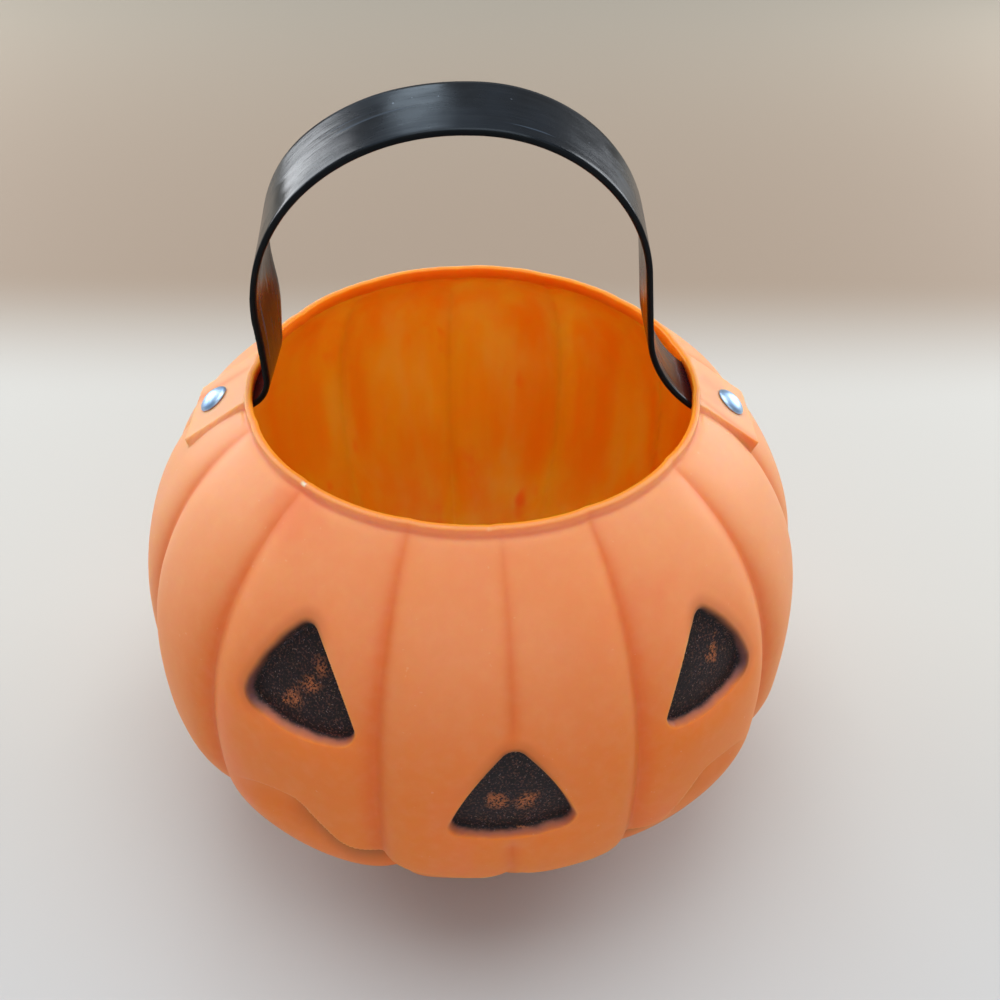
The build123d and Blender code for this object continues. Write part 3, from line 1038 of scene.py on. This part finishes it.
def face_paint(start, place, skin):
    """Black paint in the eyes and nose, rubbed through in patches, with overspray, with painted shade
    outside their upper and outer edges and painted light on their lower walls; and its cover.
    """
    edge, out, rise = [attribute(start, name) for name in ("pocket_edge", "pocket_out", "pocket_rise")]
    cloud = noise_of(place, 150, 4)
    grain = noise_of(place, 1500, 2, 0.6)
    glint = noise_of(place, 1900, 1, 0.5, offset=(0.2, 0.6, 0.9))
    wear = noise_of(place, 85, 3, offset=(0.15, 0.5, 0.33))
    ragged = edge + (cloud - 0.5) * paint_ragged
    # Upper and outer sides of the pockets, where the painted shade goes
    upper = (out * 0.8 + rise * 0.5).ramp(*shade_side)
    mist_and_shade = (1 - edge.ramp(*mist_and_shade_edge)) * upper
    skin = (mist_and_shade * 0.45).mixed(skin, mist_and_shade_brown)
    halo_shade = (1 - ragged.ramp(*halo_shade_edge)) * upper
    skin = (halo_shade * 0.92).mixed(skin, halo_shade_black)
    # Overspray on the lower walls, drawn lighter as painted light
    lower = 1 - rise.ramp(*paint_foot)
    lit_spray = (1 - ragged.ramp(*lit_spray_edge)) * lower
    skin = (lit_spray * 0.75).mixed(skin, lit_spray_mauve)
    paint = 1 - (ragged + lower * paint_foot_draw).ramp(*paint_edge)
    bare = grain.ramp(0.53, 0.64) * (0.45 + wear.ramp(0.45, 0.62) * 0.4)
    rubbed = wear.ramp(0.66, 0.72)
    for angle, spot_rise in worn_spots:
        spot = (*ring_point(crown_reach(spot_rise) - pocket_depth, angle), belly_height + spot_rise)
        gap = place.node("ShaderNodeVectorMath", {"operation": "DISTANCE"}, {0: place, 1: spot}, output=1)
        worn = (gap + (cloud - 0.5) * worn_ragged).ramp(worn_reach, worn_core)
        rubbed = rubbed.math("MAXIMUM", rubbed, worn)
    rubbed = rubbed * grain.ramp(0.42, 0.56) * 0.85
    coat = grain.ramp(0.3, 0.75).mixed(paint_black, paint_grey)
    coat = bare.mixed(coat, bare_brown)
    coat = (glint.ramp(0.66, 0.76) * 0.7).mixed(coat, glint_grey)
    coat = rubbed.mixed(coat, worn_orange)
    return paint.mixed(skin, coat), paint


def orange_plastic():
    """Soft orange moulded plastic that lets light through, with a painted face."""
    material, start = new_material("orange_moulded_plastic")
    place = object_place(start)
    fine = noise_of(place, 230, 4)
    skin, paint = face_paint(start, place, shell_skin(start, place, fine))
    # Dark brown under the upper lip: the mouth's paint together with painted shade in its recess
    shade = attribute(start, "mouth_paint_and_shade")
    skin = (shade * 0.85).mixed(skin, mouth_paint_and_shade_brown)
    inside = attribute(start, "inside").ramp(0.2, 0.8)
    skin = inside.mixed(skin, shell_lining(place))
    grain = noise_of(place, 1100, 2, 0.6)
    rough = 0.48 + (fine - 0.5) * 0.16 + paint * 0.16 - inside * 0.06
    bumps = bump_of(fine * 0.3 + grain * (0.08 + paint * 1.2), 0.0004, 0.30)
    sockets = {
        "Base Color": skin,
        "Roughness": rough,
        "Normal": bumps,
        "Specular IOR Level": 0.32,
        "Subsurface Weight": 1.0,
        "Subsurface Radius": (1.0, 0.62, 0.12),
        "Subsurface Scale": 0.0055,
    }
    put_out(start, sockets)
    return material


def black_plastic():
    """Glossy black strap plastic with a bluish, patchy sheen, partly painted into its colour as painted
    reflection, and fine scuffs along its length.
    """
    material, start = new_material("black_strap_plastic")
    along, across = attribute(start, "along"), attribute(start, "across")
    flat = start.node("ShaderNodeCombineXYZ", {}, {"X": along, "Y": across})
    scuff = noise_of(flat, 55, 4, stretch=(0.5, 5, 1))
    scratch = noise_of(flat, 190, 2, stretch=(0.15, 4, 1), offset=(0.2, 0.5, 0))
    cloud = noise_of(flat, 42, 3, offset=(0.6, 0.1, 0))
    speck = noise_of(flat, 520, 1)
    # Painted sheen: lighter bluish patches in the colour
    base = cloud.ramp(0.35, 0.7).mixed(strap_black, strap_painted_sheen)
    base = (scratch.ramp(0.66, 0.73) * 0.35).mixed(base, scratch_grey)
    base = (speck.ramp(0.77, 0.80) * 0.6).mixed(base, strap_speck)
    cut = across.math("ABSOLUTE", across).ramp(*strap_cut_tone)
    base = cut.mixed(base, cut_black)
    rough = 0.15 + cloud.ramp(0.35, 0.7) * 0.16 + scuff.ramp(0.4, 0.75) * 0.08
    rough = rough + scratch.ramp(0.64, 0.74) * 0.12 + cut * 0.45
    bumps = bump_of(scuff * 0.5 + cloud, 0.0008, 0.30)
    sockets = {
        "Base Color": base,
        "Roughness": rough,
        "Normal": bumps,
        "Specular IOR Level": 0.20,
        "Specular Tint": (0.66, 0.84, 1.0, 1),
    }
    put_out(start, sockets)
    return material


def rivet_metal():
    """Bright rivet metal, tinted blue as a painted reflection of the sky, with fine handling marks."""
    material, start = new_material("rivet_bright_metal")
    place = object_place(start)
    marks = noise_of(place, 900, 3, stretch=(1, 0.2, 1))
    stain = noise_of(place, 260, 3)
    base = stain.ramp(0.35, 0.75).mixed(sky_tinted_metal_dark, sky_tinted_metal_pale)
    rough = 0.30 + marks * 0.20
    bumps = bump_of(marks, 0.0002, 0.2)
    sockets = {"Base Color": base, "Metallic": 1.0, "Roughness": rough, "Normal": bumps}
    put_out(start, sockets)
    return material


def floor_paper():
    """Plain pale floor that turns to warm grey behind the pail."""
    material, start = new_material("floor_paper")
    back = axis_of(object_place(start), 1)
    tone = back.ramp(*floor_change).mixed(floor_white, floor_grey)
    tone = back.ramp(*backdrop_start).mixed(tone, backdrop_brown)
    tone = back.ramp(*backdrop_end).mixed(tone, backdrop_grey)
    put_out(start, {"Base Color": tone, "Roughness": 0.7})
    return material


def dress(piece, material):
    """Gives a piece one material."""
    piece.data.materials.clear()
    piece.data.materials.append(material)


# Pieces on their bodies

shell = make_shell()
dress(shell, orange_plastic())
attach(shell, "pail")
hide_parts("pumpkin_shell")

strap, hinge_height = make_strap()
dress(strap, black_plastic())
hinge_start = (0, 0, hinge_height - strap_width / 2)
hinge_end = (0, 0, hinge_height + strap_width)
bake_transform(strap)
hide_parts("strap_arch", "left_strap_end", "right_strap_end")

metal = rivet_metal()
for side_name, side in (("left", -1), ("right", 1)):
    cap = make_rivet_cap(f"{side_name}_rivet_dome", side)
    dress(cap, metal)
    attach(cap, "pail")
    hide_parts(f"{side_name}_rivet_cap")
    dress(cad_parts[f"{side_name}_rivet_post"], metal)

# Floor, light and camera

bm = bmesh.new()
bmesh.ops.create_grid(bm, x_segments=1, y_segments=1, size=floor_size)
floor = finish_mesh(bm, "floor")
dress(floor, floor_paper())


def area_light(name, place, aim, size, power, tint):
    """Soft square lamp that looks at a point."""
    lamp = bpy.data.lights.new(name, "AREA")
    lamp.size, lamp.energy, lamp.color = size, power, tint
    holder = bpy.data.objects.new(name, lamp)
    bpy.context.collection.objects.link(holder)
    holder.location = place
    holder.rotation_euler = (Vector(aim) - Vector(place)).to_track_quat("-Z", "Y").to_euler()


for lamp_row in lamps:
    area_light(*lamp_row)

world = bpy.data.worlds.new("studio")
world.use_nodes = True
world.node_tree.nodes["Background"].inputs["Color"].default_value = sky_tint
world.node_tree.nodes["Background"].inputs["Strength"].default_value = sky_strength
bpy.context.scene.world = world

ahead = cos(camera_pitch)
heading = Vector((sin(camera_yaw) * ahead, cos(camera_yaw) * ahead, -sin(camera_pitch)))
level_right = Vector((cos(camera_yaw), -sin(camera_yaw), 0))
level_up = level_right.cross(heading)
camera_right = cos(camera_roll) * level_right + sin(camera_roll) * level_up
camera_up = cos(camera_roll) * level_up - sin(camera_roll) * level_right
lens = bpy.data.cameras.new("photo_camera")
lens.sensor_width, lens.lens = camera_sensor, camera_lens
camera = bpy.data.objects.new("photo_camera", lens)
bpy.context.collection.objects.link(camera)
axes = Matrix((camera_right, camera_up, -heading)).transposed().to_4x4()
camera.matrix_world = Matrix.Translation(camera_place) @ axes
bpy.context.scene.camera = camera

bpy.context.scene.view_settings.view_transform = "Standard"
